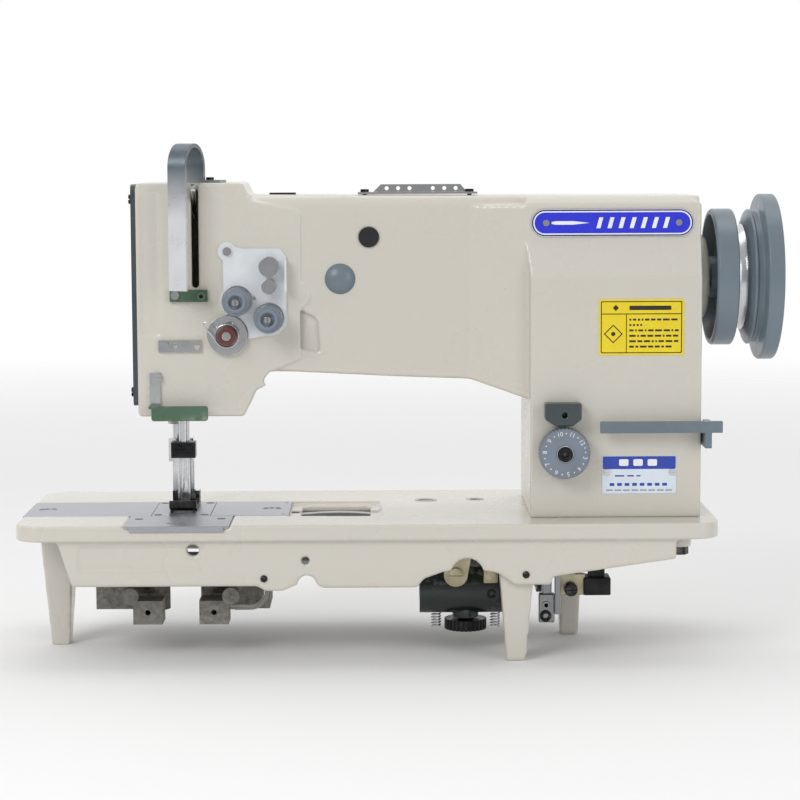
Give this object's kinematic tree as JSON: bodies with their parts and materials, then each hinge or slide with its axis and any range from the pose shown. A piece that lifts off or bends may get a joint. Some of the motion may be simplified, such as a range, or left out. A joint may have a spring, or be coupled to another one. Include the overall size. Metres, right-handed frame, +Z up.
{
  "type": "leather sewing machine",
  "caption": "Flat-bed twin-needle walking-foot sewing machine head for leather, with arm, column, handwheel, sliding bed plates, hooks under the bed and standing legs.",
  "frame": {"origin": "centre of the footprint, on the surface that the legs stand on", "axes": "+X along the bed towards the handwheel, -Y towards the operator, +Z up"},
  "size_m": [0.568, 0.1792, 0.383],
  "materials": {
    "enamel": "gloss warm grey enamel",
    "dark_cover": "dark satin paint",
    "satin_steel": "satin ground steel",
    "chrome_plate": "bright plated steel",
    "steel": "turned steel",
    "hook_steel": "polished hardened steel",
    "blue_grey_paint": "semi-gloss blue-grey paint",
    "bright_aluminium": "turned bright",
    "dial_plastic": "moulded plastic",
    "black_oxide": "black oxide steel",
    "green_guard": "satin green paint",
    "black_rubber": "matt",
    "nameplate": "printed plate",
    "label": "printed film",
    "bed_plug_grey": "satin",
    "raw_casting": "bare casting",
    "dark_green_casting": "dark green-black paint",
    "zinc_plate": "yellow zinc plate",
    "bronze": "sintered bronze",
    "clear_tube": "clear soft plastic"
  },
  "bodies": {
    "root": {"bed_casting": "enamel", "arm_casting": "enamel", "face_plate": "dark_cover", "rear_covers": "enamel", "needle_plate": "satin_steel", "front_cover_plate": "satin_steel", "leaf_spring": "satin_steel", "bed_plugs": "bed_plug_grey", "rubber_plugs": "black_rubber", "dome_cap": "blue_grey_paint", "nameplates": "nameplate", "info_label": "label", "arm_thread_guide": "chrome_plate", "take_up_guard": "blue_grey_paint", "head_thread_guides": "green_guard", "finger_guard": "green_guard", "tension_plate": "chrome_plate", "tension_posts": "chrome_plate", "tension_discs": "chrome_plate", "tension_springs": "chrome_plate", "check_spring_disc": "chrome_plate", "shaft_bushings": "bronze", "timing_belt": "black_rubber", "bobbin_cases": "hook_steel", "hook_saddles": "raw_casting", "presser_spring": "black_oxide", "dial_bracket": "dark_cover", "regulator_housing": "dark_green_casting", "regulator_springs": "chrome_plate", "oil_tube": "clear_tube", "screws": "black_oxide"},
    "main_shaft": {"arm_shaft": "steel", "crank": "steel", "handwheel": "blue_grey_paint", "belt_pulley": "bright_aluminium", "upper_sprocket": "steel"},
    "hook_drive": {"hook_drive_shaft": "steel", "hook_drive_gears": "steel"},
    "left_hook": {"left_hook": "hook_steel"},
    "right_hook": {"right_hook": "hook_steel"},
    "needle_frame": {"needle_bar_frame": "steel"},
    "needle_bar": {"needle_bar": "chrome_plate", "needle_clamp": "black_oxide", "needles": "chrome_plate"},
    "inner_foot": {"inner_foot": "black_oxide"},
    "take_up": {"take_up_lever": "chrome_plate"},
    "presser": {"presser_bar": "chrome_plate", "presser_foot": "black_oxide"},
    "lifter": {"lifting_lever": "blue_grey_paint"},
    "feed": {"feed_dog": "satin_steel"},
    "feed_rock": {"feed_rock_shaft": "steel"},
    "dial": {"stitch_dial": "dial_plastic"},
    "reverse": {"reverse_lever": "blue_grey_paint"},
    "upper_knob": {"upper_tension_knob": "dial_plastic"},
    "lower_knob": {"lower_tension_knob": "dial_plastic"},
    "check_spring": {"check_spring": "chrome_plate"},
    "left_plate": {"left_slide_plate": "satin_steel"},
    "right_plate": {"right_slide_plate": "satin_steel"},
    "regulator_wheel": {"regulator_wheel": "black_oxide"},
    "regulator_link": {"regulator_link": "zinc_plate"}
  },
  "joints": [
    {"name": "shaft_spin", "type": "hinge", "parent": "root", "child": "main_shaft", "pos_m": [0.234, -0.006, 0.281], "axis": [1, 0, 0], "continuous": true},
    {"name": "hook_drive_spin", "type": "hinge", "parent": "root", "child": "hook_drive", "pos_m": [0.016, 0.026, 0.059], "axis": [1, 0, 0], "continuous": true},
    {"name": "left_hook_spin", "type": "hinge", "parent": "root", "child": "left_hook", "pos_m": [-0.1873, -0.006, 0.085], "axis": [0, 0, 1], "continuous": true},
    {"name": "right_hook_spin", "type": "hinge", "parent": "root", "child": "right_hook", "pos_m": [-0.1437, -0.006, 0.085], "axis": [0, 0, 1], "continuous": true},
    {"name": "needle_frame_rock", "type": "hinge", "parent": "root", "child": "needle_frame", "pos_m": [-0.1655, 0.004, 0.331], "axis": [1, 0, 0], "range_deg": [-1.1, 1.1]},
    {"name": "needle_bar_slide", "type": "slide", "parent": "needle_frame", "child": "needle_bar", "axis": [0, 0, 1], "range_m": [-0.034, 0]},
    {"name": "inner_foot_lift", "type": "slide", "parent": "needle_frame", "child": "inner_foot", "axis": [0, 0, 1], "range_m": [0, 0.006]},
    {"name": "take_up_swing", "type": "hinge", "parent": "root", "child": "take_up", "pos_m": [-0.152, 0.005, 0.315], "axis": [1, 0, 0], "range_deg": [0, 65]},
    {"name": "presser_lift", "type": "slide", "parent": "root", "child": "presser", "axis": [0, 0, 1], "range_m": [0, 0.008], "deforming": ["presser_spring"]},
    {"name": "lifter_turn", "type": "hinge", "parent": "root", "child": "lifter", "pos_m": [-0.172, 0.04, 0.23], "axis": [0, 1, 0], "range_deg": [0, 60]},
    {"name": "feed_slide", "type": "slide", "parent": "root", "child": "feed", "axis": [0, 1, 0], "range_m": [-0.0045, 0.0045]},
    {"name": "feed_rock_turn", "type": "hinge", "parent": "root", "child": "feed_rock", "pos_m": [-0.084, 0.06, 0.071], "axis": [1, 0, 0], "range_deg": [-13, 13]},
    {"name": "dial_turn", "type": "hinge", "parent": "root", "child": "dial", "pos_m": [0.1208, -0.064, 0.1546], "axis": [0, -1, 0], "range_deg": [0, 300]},
    {"name": "reverse_press", "type": "hinge", "parent": "root", "child": "reverse", "pos_m": [0.226, -0.02, 0.165], "axis": [1, 0, 0], "range_deg": [0, 15], "stiffness_Nm_per_rad": 0.6, "springref_deg": -20.05},
    {"name": "upper_knob_turn", "type": "hinge", "parent": "root", "child": "upper_knob", "pos_m": [-0.1208, -0.06, 0.2668], "axis": [0, -1, 0], "range_deg": [-360, 360]},
    {"name": "lower_knob_turn", "type": "hinge", "parent": "root", "child": "lower_knob", "pos_m": [-0.0973, -0.06, 0.254], "axis": [0, -1, 0], "range_deg": [-360, 360]},
    {"name": "check_spring_swing", "type": "hinge", "parent": "root", "child": "check_spring", "pos_m": [-0.1285, -0.047, 0.241], "axis": [0, 1, 0], "range_deg": [-40, 0], "stiffness_Nm_per_rad": 0.002},
    {"name": "left_plate_slide", "type": "slide", "parent": "root", "child": "left_plate", "axis": [-1, 0, 0], "range_m": [0, 0.06]},
    {"name": "right_plate_slide", "type": "slide", "parent": "root", "child": "right_plate", "axis": [1, 0, 0], "range_m": [0, 0.055]},
    {"name": "regulator_wheel_turn", "type": "hinge", "parent": "root", "child": "regulator_wheel", "pos_m": [0.049, -0.022, 0.02], "axis": [0, 0, 1], "range_deg": [-360, 360]},
    {"name": "regulator_link_turn", "type": "hinge", "parent": "root", "child": "regulator_link", "pos_m": [0.041, -0.035, 0.06], "axis": [0, -1, 0], "range_deg": [-4, 4]}
  ],
  "couplings": [
    {"joint": "hook_drive_spin", "follows": "shaft_spin", "ratio": 1},
    {"joint": "left_hook_spin", "follows": "shaft_spin", "ratio": 2},
    {"joint": "right_hook_spin", "follows": "shaft_spin", "ratio": -2},
    {"joint": "feed_slide", "follows": "needle_frame_rock", "m_per_rad": 0.226},
    {"joint": "feed_rock_turn", "follows": "needle_frame_rock", "ratio": -10}
  ]
}
